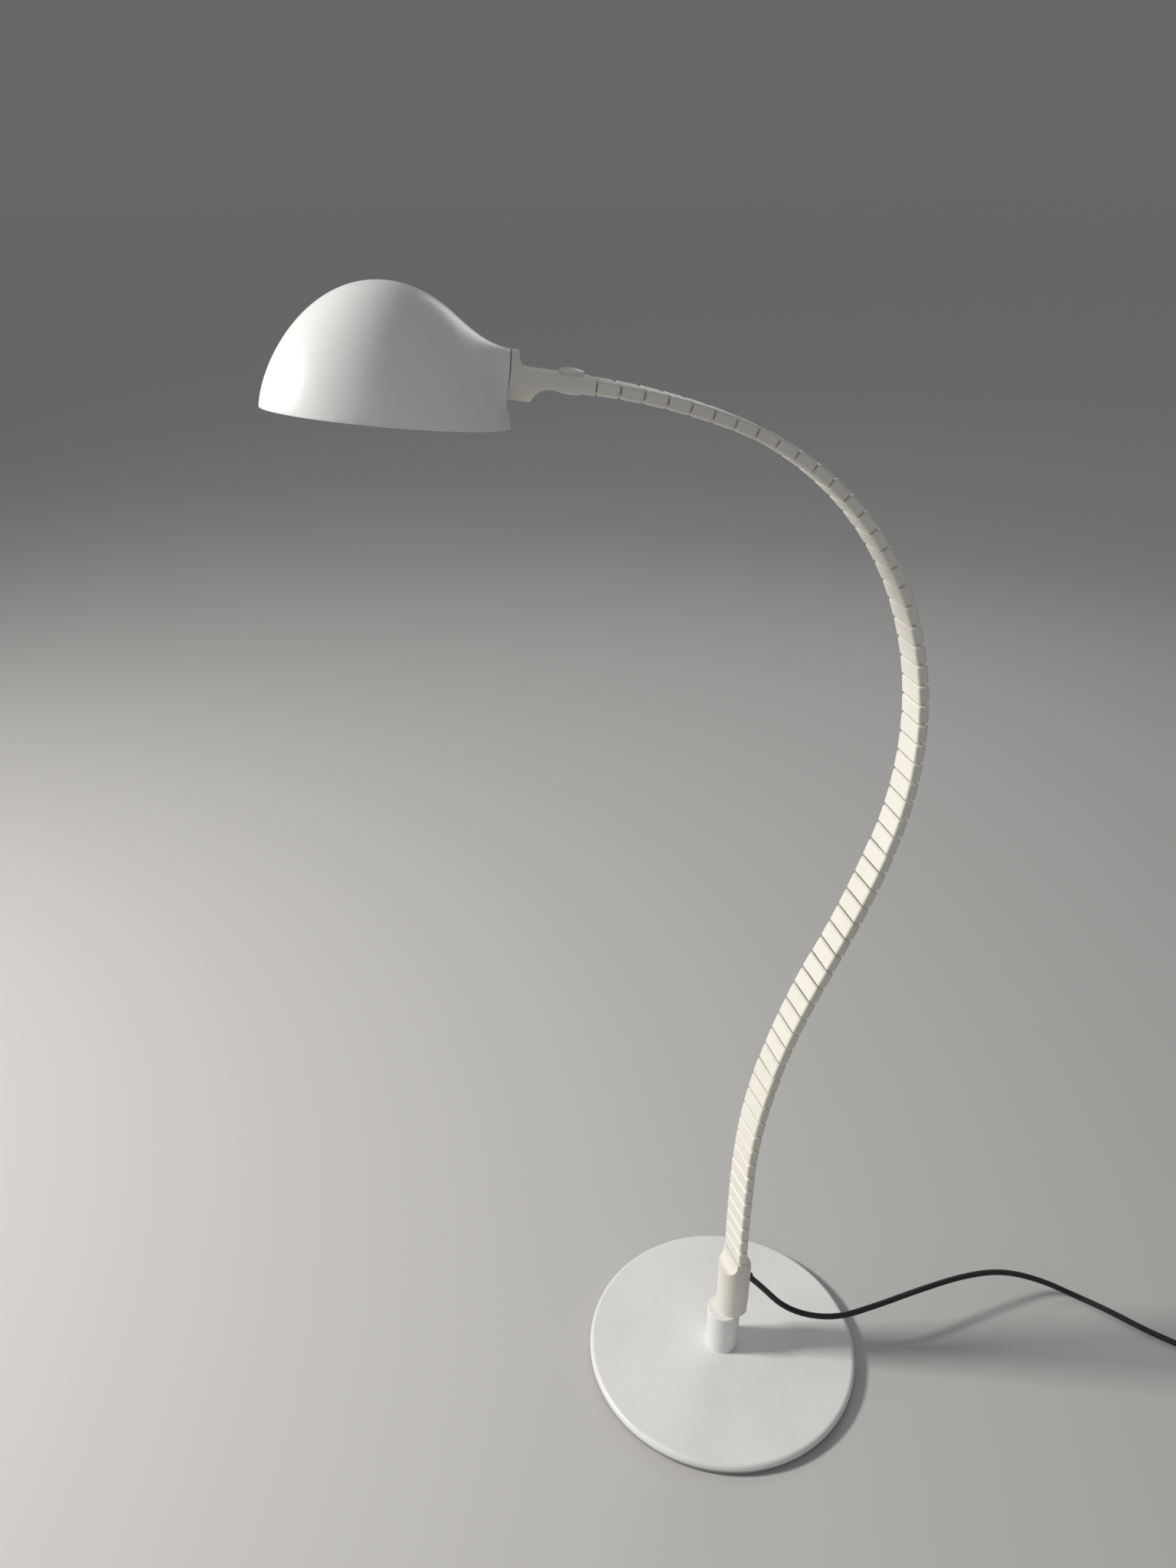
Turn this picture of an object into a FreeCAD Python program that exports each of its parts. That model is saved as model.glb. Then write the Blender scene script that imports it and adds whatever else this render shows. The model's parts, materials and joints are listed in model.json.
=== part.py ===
import FreeCAD, Part
import math
import os
import Sketcher
from FreeCAD import Matrix, Placement, Rotation, Vector

# Gooseneck reading floor lamp.  Millimetres, +Z up, origin at the centre of the underside
# of the base, +X from the post towards the side where the mains lead leaves the lamp.

os.makedirs("parts", exist_ok=True)
doc = FreeCAD.newDocument("gooseneck_lamp")
sheet = doc.addObject("Spreadsheet::Sheet", "Sizes")

# ---------------------------------------------------------------- driving sizes
DRIVING = {
    "base_dia": 250, "pad_dia": 238, "pad_thick": 2, "disc_thick": 9, "rim_round": 4,
    "cover_wall": 1.4, "plate_rim": 3.2, "seam": 0.3, "rim_play": 0.4,
    "post_dia": 30.3, "post_tall": 46, "post_wall": 3.15, "post_cap": 4, "foot_tall": 9,
    "bolt_rad": 5, "head_rad": 9, "head_tall": 2.7, "bolt_recess": 12,
    "bush_tall": 13, "journal_rad": 6, "spigot_rad": 4.5, "spigot_tall": 25,
    "connector_dia": 29.4, "lower_tall": 68.4, "offset_x": 8,
    "flat_half": 4.75, "scoop_rad": 9.95, "scoop_low": 55, "relief_flat": 9.8,
    "relief_tall": 6, "relief_rad": 8.98, "lead_dia": 5.4, "lead_height": 90,
    "lead_dip": 52, "bore_run": 26, "duct_from": 101, "sleeve_rad": 4.2, "sleeve_out": 3, "sleeve_in": 9,
    "pitch": 15.33, "link_gap": 1.2, "link_wide": 30, "link_thick": 8.7,
    "link_corner": 2.2, "link_bevel": 1.2, "slot_wide": 15, "slot_thick": 3.6,
    "core_wide": 14, "core_thick": 3, "core_clear": 1.8,
    "upper_long": 53, "switch_at": 14, "cap_rad": 7.92, "flange_rad": 8.68,
    "switch_bore": 8.75, "lip_low": 3.5, "button_out": 4, "cap_out": 2.2,
    "spindle_rad": 5, "groove_rad": 4.2, "spindle_sunk": 12, "screw_back": 7, "screw_rad": 2,
    "shade_rim": 75, "shade_half_wide": 64, "shade_tall": 77.3, "shade_wall": 1.4,
    "shade_lean": 2.5, "shade_roll": 2.3, "shade_shear": 0.038,
    "shade_reach": 69.3, "shade_drop": 34.2, "stub_run": 34,
    "flare_from": 4, "flare_run": 26, "flare_rise": 11,
    "holder_rad": 12.6, "holder_long": 34, "bulb_rad": 22.5, "bulb_ahead": 41,
    "bulb_cap_long": 22,
    "coil_inner": 20.5, "coil_pitch": 5.9, "coil_turns": 6.25, "coil_height": 3.4,
    "plug_thick": 14, "plug_wide": 35, "plug_long": 34, "pin_long": 19,
    "coil_x": 449.6, "coil_y": 199.2, "tail_drop": 25,
}
for row, (alias, value) in enumerate(DRIVING.items(), 1):
    sheet.set("A%d" % row, alias)
    sheet.set("B%d" % row, str(value))
    sheet.setAlias("B%d" % row, alias)
doc.recompute()


class Size:
    """A length that carries both its value and its spreadsheet expression."""

    def __init__(self, value, text):
        self.value = value
        self.text = text

    @staticmethod
    def of(other):
        return other if isinstance(other, Size) else Size(float(other), repr(float(other)))

    def __add__(self, other):
        other = Size.of(other)
        return Size(self.value + other.value, "(%s + %s)" % (self.text, other.text))

    def __sub__(self, other):
        other = Size.of(other)
        return Size(self.value - other.value, "(%s - %s)" % (self.text, other.text))

    def __mul__(self, other):
        other = Size.of(other)
        return Size(self.value * other.value, "(%s * %s)" % (self.text, other.text))

    def __truediv__(self, other):
        other = Size.of(other)
        return Size(self.value / other.value, "(%s / %s)" % (self.text, other.text))

    def __neg__(self):
        return Size(-self.value, "(0 - %s)" % self.text)

    __radd__ = __add__
    __rmul__ = __mul__

    def __rsub__(self, other):
        return Size.of(other) - self

    def __float__(self):
        return self.value


def size(alias):
    return Size(float(sheet.get(alias)), "Sizes." + alias)


def num(alias):
    return float(sheet.get(alias))


# ---------------------------------------------------------------- modelling helpers
def bind(obj, **props):
    """Drive properties of an object from the spreadsheet."""
    for prop, length in props.items():
        obj.setExpression(prop.replace("__", "."), Size.of(length).text)
    return obj


def add_sketch(body, name, plane, corners, arcs=()):
    """Closed outline through corners; arcs maps a side's index to (radius, bulge side)."""
    sketch = body.newObject("Sketcher::SketchObject", name)
    support = [f for f in body.Origin.OriginFeatures if f.Role == plane][0]
    sketch.AttachmentSupport = [(support, "")]
    sketch.MapMode = "FlatFace"
    arcs = dict(arcs)
    corners = [(Size.of(x), Size.of(y)) for x, y in corners]
    ends = [Vector(x.value, y.value, 0) for x, y in corners]
    pins = []
    for i, first in enumerate(ends):
        last = ends[(i + 1) % len(ends)]
        if i in arcs:
            radius, side = arcs[i]
            radius = Size.of(radius)
            chord = last - first
            normal = Vector(-chord.y, chord.x, 0).normalize() * side
            rise = radius.value - math.sqrt(max(radius.value ** 2 - chord.Length ** 2 / 4, 0))
            middle = (first + last) * 0.5 + normal * rise
            edge = sketch.addGeometry(Part.ArcOfCircle(first, middle, last), False)
            head = 1 if (sketch.getPoint(edge, 1) - first).Length < 1e-6 else 2
            pins.append((edge, head, 3 - head))
        else:
            edge = sketch.addGeometry(Part.LineSegment(first, last), False)
            pins.append((edge, 1, 2))
    for i, (edge, _, tail) in enumerate(pins):
        following, head, _ = pins[(i + 1) % len(pins)]
        sketch.addConstraint(Sketcher.Constraint("Coincident", edge, tail, following, head))
    for i, (edge, head, _) in enumerate(pins):
        for kind, length in (("DistanceX", corners[i][0]), ("DistanceY", corners[i][1])):
            k = sketch.addConstraint(Sketcher.Constraint(kind, -1, 1, edge, head, length.value))
            sketch.setExpression("Constraints[%d]" % k, length.text)
    for i, (radius, _) in arcs.items():
        radius = Size.of(radius)
        k = sketch.addConstraint(Sketcher.Constraint("Radius", pins[i][0], radius.value))
        sketch.setExpression("Constraints[%d]" % k, radius.text)
    return sketch


def turned(name, corners, arcs=(), place=None):
    """Body of revolution about its own Z axis from an (r, z) outline."""
    body = doc.addObject("PartDesign::Body", name)
    sketch = add_sketch(body, name + "_outline", "XZ_Plane", corners, arcs)
    turn = body.newObject("PartDesign::Revolution", name + "_turn")
    turn.Profile = sketch
    turn.ReferenceAxis = (sketch, ["V_Axis"])
    turn.Angle = 360
    sketch.Visibility = False
    if place is not None:
        body.Placement = place
    return body


def cylinder(name, radius, height, base, axis):
    tool = doc.addObject("Part::Cylinder", name)
    bind(tool, Radius=radius, Height=height)
    tool.Placement = Placement(Vector(*base), Rotation(Vector(0, 0, 1), Vector(*axis)))
    return tool


def box(name, length, width, height, corner):
    tool = doc.addObject("Part::Box", name)
    bind(tool, Length=length, Width=width, Height=height)
    tool.Placement = Placement(Vector(*corner), Rotation())
    return tool


def cut(name, base, tools):
    """Base minus one or more tools."""
    if len(tools) > 1:
        union = doc.addObject("Part::MultiFuse", name + "_tools")
        union.Shapes = tools
    else:
        union = tools[0]
    result = doc.addObject("Part::Cut", name)
    result.Base = base
    result.Tool = union
    return result


def solid(name, shape, place=None):
    feature = doc.addObject("Part::Feature", name)
    feature.Shape = shape
    if place is not None:
        feature.Placement = place
    return feature


NODES = []


def node(name, feature):
    """File a finished sub-part under its node name."""
    feature.Label = name
    NODES.append((name, feature))
    return feature


# ---------------------------------------------------------------- base and post
base_r = size("base_dia") / 2
pad_top = size("pad_thick")
disc_top = pad_top + size("disc_thick")
wall = size("cover_wall")
plate_top = disc_top - wall
rim_top = pad_top + size("plate_rim")
cover_low = rim_top + size("seam")
skirt_in = base_r - wall
inner_round = size("rim_round") - wall
shoulder = disc_top - size("rim_round")

node("base_pad", turned("base_pad_body", [
    (0, 0), (size("pad_dia") / 2, 0), (size("pad_dia") / 2, pad_top), (0, pad_top)]))

plate_r = skirt_in - size("rim_play")
recess_top = pad_top + size("head_tall") + 0.3 + 1.2
node("ballast_plate", turned("ballast_body", [
    (size("bolt_recess"), pad_top), (base_r - 0.6, pad_top), (base_r - 0.6, rim_top),
    (plate_r, rim_top), (plate_r, shoulder), (plate_r - inner_round, plate_top),
    (size("bolt_rad") + 0.2, plate_top), (size("bolt_rad") + 0.2, recess_top),
    (size("bolt_recess"), recess_top)]))

node("base_cover", turned("cover_body", [
    (size("bolt_rad") + 0.5, plate_top), (size("bolt_rad") + 0.5, disc_top),
    (base_r - size("rim_round"), disc_top), (base_r, shoulder), (base_r, cover_low),
    (skirt_in, cover_low), (skirt_in, shoulder), (skirt_in - inner_round, plate_top)],
    {2: (size("rim_round"), 1), 6: (inner_round, -1)}))

post_r = size("post_dia") / 2
bore_r = post_r - size("post_wall")
post_top = disc_top + size("post_tall")
cap_low = post_top - size("post_cap")
edge = 0.5
node("post", turned("post_body", [
    (bore_r, disc_top), (post_r, disc_top), (post_r, post_top - edge),
    (post_r - edge, post_top), (size("journal_rad") + 0.4, post_top),
    (size("journal_rad") + 0.4, cap_low), (bore_r, cap_low)]))

foot_top = disc_top + size("foot_tall")
node("post_foot", turned("foot_body", [
    (size("bolt_rad") + 0.05, disc_top), (bore_r - 0.05, disc_top),
    (bore_r - 0.05, foot_top), (size("bolt_rad") + 0.05, foot_top)]))

head_low = pad_top + 0.3
head_top = head_low + size("head_tall")
node("post_bolt", turned("bolt_body", [
    (0, head_low), (size("head_rad"), head_low), (size("head_rad"), head_top),
    (size("bolt_rad"), head_top), (size("bolt_rad"), foot_top - 1), (0, foot_top - 1)]))

node("post_washer", turned("washer_body", [
    (size("bolt_rad") + 0.3, head_top), (size("bolt_recess") - 1, head_top),
    (size("bolt_recess") - 1, recess_top), (size("bolt_rad") + 0.3, recess_top)]))

journal = size("journal_rad")
bush_low = cap_low - size("bush_tall")
node("swivel_bush", turned("bush_body", [
    (journal + 0.05, bush_low), (bore_r - 0.05, bush_low), (bore_r - 0.05, cap_low),
    (journal + 0.05, cap_low)]))

clip_top = bush_low - 2
clip_low = clip_top - 1.2
node("friction_washer", turned("wave_body", [
    (journal + 0.3, clip_top), (bore_r - 1, clip_top), (bore_r - 1, bush_low),
    (journal + 0.3, bush_low)]))

spigot_top = post_top + size("spigot_tall")
pin_low = clip_low - 5
node("swivel_pin", turned("pin_body", [
    (0, pin_low), (journal - 1, pin_low), (journal, pin_low + 1), (journal, clip_low - 0.1),
    (journal - 1, clip_low - 0.1), (journal - 1, clip_top), (journal, clip_top),
    (journal, post_top), (size("spigot_rad"), post_top), (size("spigot_rad"), spigot_top - 1),
    (size("spigot_rad") - 1, spigot_top), (0, spigot_top)]))

node("retaining_clip", turned("clip_body", [
    (journal - 0.95, clip_low), (journal + 3, clip_low), (journal + 3, clip_top),
    (journal - 0.95, clip_top)]))

# ---------------------------------------------------------------- lower connector
# One moulding: a plain round stub whose top is scooped to a flat tang that carries the
# neck, with a relief over the edge of the post and an oblique hole for the lead.
conn_r = size("connector_dia") / 2
offset_x = num("offset_x")
base_z = float(post_top)
lower_place = Placement(Vector(offset_x, 0, base_z), Rotation())
lower_top = size("lower_tall")
flat = size("flat_half")
scoop = size("scoop_rad")
scoop_low = size("scoop_low")
beyond = conn_r + 3

stub = doc.addObject("PartDesign::Body", "lower_stub")
stub_sketch = add_sketch(stub, "lower_stub_outline", "XZ_Plane", [
    (0, 0), (conn_r, 0), (conn_r, lower_top), (0, lower_top)])
stub_turn = stub.newObject("PartDesign::Revolution", "lower_stub_turn")
stub_turn.Profile = stub_sketch
stub_turn.ReferenceAxis = (stub_sketch, ["V_Axis"])
stub_turn.Angle = 360
doc.recompute()
for side, tag in ((1, "lead"), (-1, "post")):
    outline = [(side * flat, scoop_low + scoop), (side * (flat + scoop), scoop_low),
               (side * beyond, scoop_low), (side * beyond, lower_top + 1),
               (side * flat, lower_top + 1)]
    trim = add_sketch(stub, "scoop_%s_outline" % tag, "XZ_Plane", outline,
                      {0: (scoop, -side)})
    pocket = stub.newObject("PartDesign::Pocket", "scoop_" + tag)
    pocket.Profile = trim
    pocket.Type = "Length"
    pocket.Midplane = True
    bind(pocket, Length=conn_r * 2 + 10)
    doc.recompute()
relief = size("relief_flat")
relief_z = size("relief_tall")
relief_r = size("relief_rad")
relief_top = relief_z + 8
trim = add_sketch(stub, "relief_outline", "XZ_Plane", [
    (relief, -1), (beyond, -1), (beyond, relief_top), (conn_r, relief_top),
    (relief, relief_z)], {3: (relief_r, -1)})
pocket = stub.newObject("PartDesign::Pocket", "relief")
pocket.Profile = trim
pocket.Type = "Length"
pocket.Midplane = True
bind(pocket, Length=conn_r * 2 + 10)
stub.Placement = lower_place
doc.recompute()

dip = math.radians(num("lead_dip"))
lead_way = Vector(math.cos(dip), 0, -math.sin(dip))
lead_exit = Vector(offset_x + float(conn_r), 0, num("lead_height"))
sleeve_start = lead_exit - lead_way * num("sleeve_in")
bore_start = lead_exit - lead_way * 18
core_gap = 0.1
core_w = size("core_wide") + 2 * core_gap
core_t = size("core_thick") + 2 * core_gap
tang_top = base_z + float(lower_top)
anchor_low = tang_top - 11
node("lower_connector", cut("lower_moulding", stub, [
    cylinder("spigot_bore", size("spigot_rad") + 0.05, size("spigot_tall") + 0.5,
             (0, 0, base_z - 0.2), (0, 0, 1)),
    cylinder("lead_bore", size("sleeve_rad") + 0.05, size("bore_run"), tuple(bore_start),
             tuple(lead_way)),
    cylinder("duct", 3, anchor_low - num("duct_from") + 1, (offset_x, 0, num("duct_from")),
             (0, 0, 1)),
    box("anchor_slot", core_t, core_w, 12,
        (offset_x - float(core_t) / 2, -float(core_w) / 2, anchor_low))]))

sleeve_out = size("sleeve_in") + size("sleeve_out")
sleeve_frame = Placement(sleeve_start, Rotation(Vector(0, 0, 1), lead_way))
lead_r = size("lead_dia") / 2
node("cord_sleeve", turned("sleeve_body", [
    (lead_r + 0.05, 0), (size("sleeve_rad"), 0), (size("sleeve_rad"), sleeve_out - 0.8),
    (size("sleeve_rad") - 0.8, sleeve_out), (lead_r + 0.05, sleeve_out)],
    {2: (0.8, 1)}, sleeve_frame))


# ---------------------------------------------------------------- the segmented neck
def turn_vector(v, axis, angle):
    c = math.cos(angle)
    return v * c + axis.cross(v) * math.sin(angle) + axis * (axis.dot(v) * (1 - c))


# Counts of links, bend of each stretch in degrees (towards the lead side) and the slow
# twist of the lower half, read from the photograph.
STRETCHES = [(7, 2.8, 0), (7, 13.7, -2.65), (7, 10.5, -2.65), (7, -7.7, -2.65),
             (7, -20.9, -2.65), (6, -19.7, 0), (6, -23.7, 0), (6, -22.8, 0), (6, -11.9, 0)]
FIRST_LEAN = -0.83

pitch = num("pitch")
gap = size("link_gap")
at = Vector(offset_x, 0, tang_top + float(gap) / 2)
lean = math.radians(FIRST_LEAN)
along = Vector(math.sin(lean), 0, math.cos(lean))
face = Vector(math.cos(lean), 0, -math.sin(lean))
hinge_points = [at]

# One link: a flat sleeve with rounded corners, bevelled ends and a slot for the core.
link_t = size("link_thick")
link_w = size("link_wide")
link_body = doc.addObject("PartDesign::Body", "link_blank")
link_sketch = add_sketch(link_body, "link_outline", "XY_Plane", [
    (-link_t / 2, -link_w / 2), (link_t / 2, -link_w / 2), (link_t / 2, link_w / 2),
    (-link_t / 2, link_w / 2)])
link_pad = link_body.newObject("PartDesign::Pad", "link_pad")
link_pad.Profile = link_sketch
link_pad.Midplane = True
bind(link_pad, Length=size("pitch") - gap)
doc.recompute()
corner_edges = ["Edge%d" % (i + 1) for i, e in enumerate(link_pad.Shape.Edges)
                if e.BoundBox.ZLength > 5]
link_round = link_body.newObject("PartDesign::Fillet", "link_round")
link_round.Base = (link_pad, corner_edges)
bind(link_round, Radius=size("link_corner"))
doc.recompute()
end_edges = ["Edge%d" % (i + 1) for i, e in enumerate(link_round.Shape.Edges)
             if e.BoundBox.ZLength < 0.01]
link_bevel = link_body.newObject("PartDesign::Chamfer", "link_bevel")
link_bevel.Base = (link_round, end_edges)
bind(link_bevel, Size=size("link_bevel"))
slot_sketch = add_sketch(link_body, "slot_outline", "XY_Plane", [
    (-size("slot_thick") / 2, -size("slot_wide") / 2),
    (size("slot_thick") / 2, -size("slot_wide") / 2),
    (size("slot_thick") / 2, size("slot_wide") / 2),
    (-size("slot_thick") / 2, size("slot_wide") / 2)])
slot = link_body.newObject("PartDesign::Pocket", "link_slot")
slot.Profile = slot_sketch
slot.Type = "Length"
slot.Midplane = True
bind(slot, Length=size("pitch") + 5)
doc.recompute()
link_shape = link_body.Shape
full = num("link_wide") * num("link_thick") * (pitch - float(gap))
print("link volume %.0f of %.0f mm3 solid" % (link_shape.Volume, full))


def framed(origin, x, z):
    """Placement whose local X and Z point along x and z."""
    y = z.cross(x)
    return Placement(Matrix(x.x, y.x, z.x, origin.x, x.y, y.y, z.y, origin.y,
                            x.z, y.z, z.z, origin.z, 0, 0, 0, 1))


core_half = num("core_thick") / 2
for index, (count, bend, twist) in enumerate(STRETCHES, 1):
    face = turn_vector(face, along, math.radians(twist))
    side = along.cross(face)
    step = math.radians(bend) / count
    radius = pitch / step

    # the core follows the arc of the stretch and ends in a round nose on the next hinge
    centre = at + face * radius

    def on_arc(angle, off):
        return centre - (face * math.cos(angle) - along * math.sin(angle)) * (radius - off)

    first = num("core_clear") / radius
    last = step * count
    middle = (first + last) / 2
    nose_way = turn_vector(along, side, last)
    nose_tip = on_arc(last, 0) + nose_way * core_half
    ring = [
        Part.Arc(on_arc(first, core_half), on_arc(middle, core_half), on_arc(last, core_half)),
        Part.Arc(on_arc(last, core_half), nose_tip, on_arc(last, -core_half)),
        Part.Arc(on_arc(last, -core_half), on_arc(middle, -core_half),
                 on_arc(first, -core_half)),
        Part.LineSegment(on_arc(first, -core_half), on_arc(first, core_half))]
    outline = Part.Face(Part.Wire([piece.toShape() for piece in ring]))
    outline.translate(side * (-num("core_wide") / 2))
    strip = outline.extrude(side * num("core_wide"))
    node("neck_core_%d" % index, solid("core_stretch_%d" % index, strip))

    links = []
    for _ in range(count):
        half_way = turn_vector(along, side, step / 2)
        middle_face = turn_vector(face, side, step / 2)
        start = at
        at = at + half_way * (pitch * math.sin(step / 2) / (step / 2))
        piece = link_shape.copy()
        piece.Placement = framed((start + at) * 0.5, middle_face, half_way)
        links.append(piece)
        along = turn_vector(along, side, step)
        face = turn_vector(face, side, step)
    node("neck_links_%d" % index, solid("link_stretch_%d" % index, Part.makeCompound(links)))
    hinge_points.append(at)
print("neck end", [round(c, 2) for c in at], "along", [round(c, 4) for c in along],
      "face", [round(c, 4) for c in face])

core_t_plain = size("core_thick")
anchor_tall = tang_top + float(gap) / 2 - anchor_low
anchor = box("anchor_strip", core_t_plain, size("core_wide"), anchor_tall,
             (offset_x - core_half, -num("core_wide") / 2, anchor_low))
nose = cylinder("anchor_nose", core_t_plain / 2, size("core_wide"),
                (offset_x, -num("core_wide") / 2, anchor_low + anchor_tall), (0, 1, 0))
anchor_join = doc.addObject("Part::MultiFuse", "anchor_lower")
anchor_join.Shapes = [anchor, nose]
node("core_anchor_lower", anchor_join)

# ---------------------------------------------------------------- upper connector and switch
# The head is drawn with X along the connector from the end of the neck, Z to the upper side.
head = framed(at, along, face)
upper_long = size("upper_long")
tang_start = gap / 2
upper = doc.addObject("PartDesign::Body", "upper_stub")
upper_sketch = add_sketch(upper, "upper_stub_outline", "XZ_Plane", [
    (tang_start, 0), (upper_long, 0), (upper_long, conn_r), (tang_start, conn_r)])
upper_turn = upper.newObject("PartDesign::Revolution", "upper_stub_turn")
upper_turn.Profile = upper_sketch
upper_turn.ReferenceAxis = (upper_sketch, ["H_Axis"])
upper_turn.Angle = 360
doc.recompute()
flare = 8
trim = add_sketch(upper, "upper_scoop_outline", "XZ_Plane", [
    (-1, flat), (upper_long - 5 - flare, flat), (upper_long - 5, flat + flare),
    (upper_long - 5, beyond), (-1, beyond)], {1: (flare, -1)})
pocket = upper.newObject("PartDesign::Pocket", "upper_scoop")
pocket.Profile = trim
pocket.Type = "Length"
pocket.Midplane = True
bind(pocket, Length=conn_r * 2 + 10)
doc.recompute()
under = upper_long - 15
trim = add_sketch(upper, "under_scoop_outline", "XZ_Plane", [
    (-1, -flat), (under - scoop, -flat), (under, -flat - scoop), (under, -beyond),
    (-1, -beyond)], {1: (scoop, 1)})
pocket = upper.newObject("PartDesign::Pocket", "under_scoop")
pocket.Profile = trim
pocket.Type = "Length"
pocket.Midplane = True
bind(pocket, Length=conn_r * 2 + 10)
doc.recompute()

switch_x = num("switch_at")
switch_bore = size("switch_bore")
lip_low = size("lip_low")
spindle_r = size("spindle_rad")
spindle_in = upper_long - size("spindle_sunk")
screw_at = upper_long - size("screw_back")
moulding = cut("upper_moulding", upper, [
    cylinder("switch_bore_tool", switch_bore, lip_low + 7, (switch_x, 0, -7), (0, 0, 1)),
    cylinder("button_hole", size("cap_rad") + 0.08, 8, (switch_x, 0, 0), (0, 0, 1)),
    box("upper_anchor_slot", 7, core_w, core_t,
        (-1, -float(core_w) / 2, -float(core_t) / 2)),
    cylinder("wire_duct", 2.2, spindle_in - size("switch_at"), (switch_x, 0, 0), (1, 0, 0)),
    cylinder("spindle_bore", spindle_r + 0.05, size("spindle_sunk") + 2,
             (float(spindle_in) - 1, 0, 0), (1, 0, 0)),
    cylinder("screw_hole", size("screw_rad") + 0.05, 15, (float(screw_at), 0, -18),
             (0, 0, 1))])
moulding.Placement = head
node("upper_connector", moulding)

anchor_up = box("anchor_upper", 3.2, size("core_wide"), core_t_plain,
                (num("core_clear"), -num("core_wide") / 2, -core_half))
anchor_up.Placement = head.multiply(anchor_up.Placement)
node("core_anchor_upper", anchor_up)

switch_frame = head.multiply(Placement(Vector(switch_x, 0, 0), Rotation()))
body_low = -3.2
node("switch_body", turned("switch_block", [
    (0, body_low), (size("flange_rad"), body_low), (size("flange_rad"), 0), (2.5, 0),
    (2.5, -2.6), (0, -2.6)], (), switch_frame))

def crown(radius, rise):
    """Radius of a shallow dome of the given rim radius and rise."""
    return (radius ** 2 + rise ** 2) / (2 * rise)


cap_r = size("cap_rad")
button_top = flat + size("button_out")
crown_r = float(cap_r) - 1.4
node("switch_button", turned("button_body", [
    (0, -0.3), (2.2, -0.3), (2.2, lip_low - 1), (size("flange_rad"), lip_low - 1),
    (size("flange_rad"), lip_low), (cap_r, lip_low), (cap_r, button_top - 2.4),
    (cap_r - 1.4, button_top - 0.9), (0, button_top)],
    {6: (1.6, -1), 7: (crown(crown_r, 0.9), -1)}, switch_frame))

cap_low_z = -flat - size("cap_out")
node("switch_cap_lower", turned("lower_cap_body", [
    (0, body_low), (0, cap_low_z), (cap_r - 1.4, cap_low_z + 0.7), (cap_r, cap_low_z + 1.7),
    (cap_r, -flat), (size("flange_rad"), -flat), (size("flange_rad"), body_low)],
    {1: (crown(crown_r, 0.7), -1), 2: (1.5, -1)}, switch_frame))

screw_len = 9.3
screw = cylinder("clamp_screw", size("screw_rad"), screw_len,
                 (float(screw_at), 0, -num("groove_rad") - 0.35 - screw_len), (0, 0, 1))
screw.Placement = head.multiply(screw.Placement)
node("spindle_screw", screw)

# ---------------------------------------------------------------- shade and lamp
def biarc(start, way_in, end, way_out):
    """Two arcs that join two points along given directions."""
    chord = end - start
    both = way_in + way_out
    square = 2 * (1 - way_in.dot(way_out))
    linear = chord.dot(both)
    if square < 1e-9:
        reach = chord.dot(chord) / (2 * linear)
    else:
        reach = (-linear + math.sqrt(linear ** 2 + square * chord.dot(chord))) / square
    first = start + way_in * reach
    second = end - way_out * reach
    joint = (first + second) * 0.5
    arcs = []
    for a, apex, b in ((start, first, joint), (joint, second, end)):
        base = (a + b) * 0.5
        cosine = (base - a).Length / (apex - a).Length
        arcs.append(Part.Arc(a, base + (apex - base) * (cosine / (1 + cosine)), b).toShape())
    return arcs


shade_face = upper_long + 1
axis_frame = head.multiply(Placement(Vector(0, 0, 0), Rotation(Vector(0, 0, 1),
                                                              Vector(1, 0, 0))))
node("shade_washer", turned("washer_ring", [
    (spindle_r + 0.3, upper_long), (conn_r - 0.3, upper_long), (conn_r - 0.3, shade_face),
    (spindle_r + 0.3, shade_face)], (), axis_frame))

groove = size("groove_rad")
spindle_out = shade_face + 12
node("shade_spindle", turned("spindle_body", [
    (3.3, spindle_in), (spindle_r, spindle_in), (spindle_r, screw_at - 2.3),
    (groove, screw_at - 2.3), (groove, screw_at + 2.3), (spindle_r, screw_at + 2.3),
    (spindle_r, spindle_out), (3.3, spindle_out)], (), axis_frame))

nut_start = shade_face + size("shade_wall")
nut = doc.addObject("Part::Prism", "nut_hex")
nut.Polygon = 6
bind(nut, Circumradius=8.1, Height=4)
nut.Placement = Placement(Vector(float(nut_start), 0, 0),
                          Rotation(Vector(0, 0, 1), Vector(1, 0, 0)))
nut_cut = cut("nut_bored", nut, [
    cylinder("nut_bore", spindle_r + 0.05, 8, (float(nut_start) - 2, 0, 0), (1, 0, 0))])
nut_cut.Placement = head
node("spindle_nut", nut_cut)

holder_start = shade_face + 8
holder_r = size("holder_rad")
holder_end = holder_start + size("holder_long")
node("lampholder", turned("holder_body", [
    (spindle_r + 0.05, holder_start), (8.5, holder_start), (holder_r, holder_start + 4),
    (holder_r, holder_end), (7.4, holder_end), (7.4, holder_start + 12),
    (3, holder_start + 12), (3, holder_start + 4.5), (spindle_r + 0.05, holder_start + 4.5)],
    (), axis_frame))

ring_start = holder_end - 12
node("holder_ring", turned("ring_body", [
    (holder_r + 0.05, ring_start), (holder_r + 3.6, ring_start),
    (holder_r + 3.6, ring_start + 5), (holder_r + 0.05, ring_start + 5)], (), axis_frame))

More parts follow.
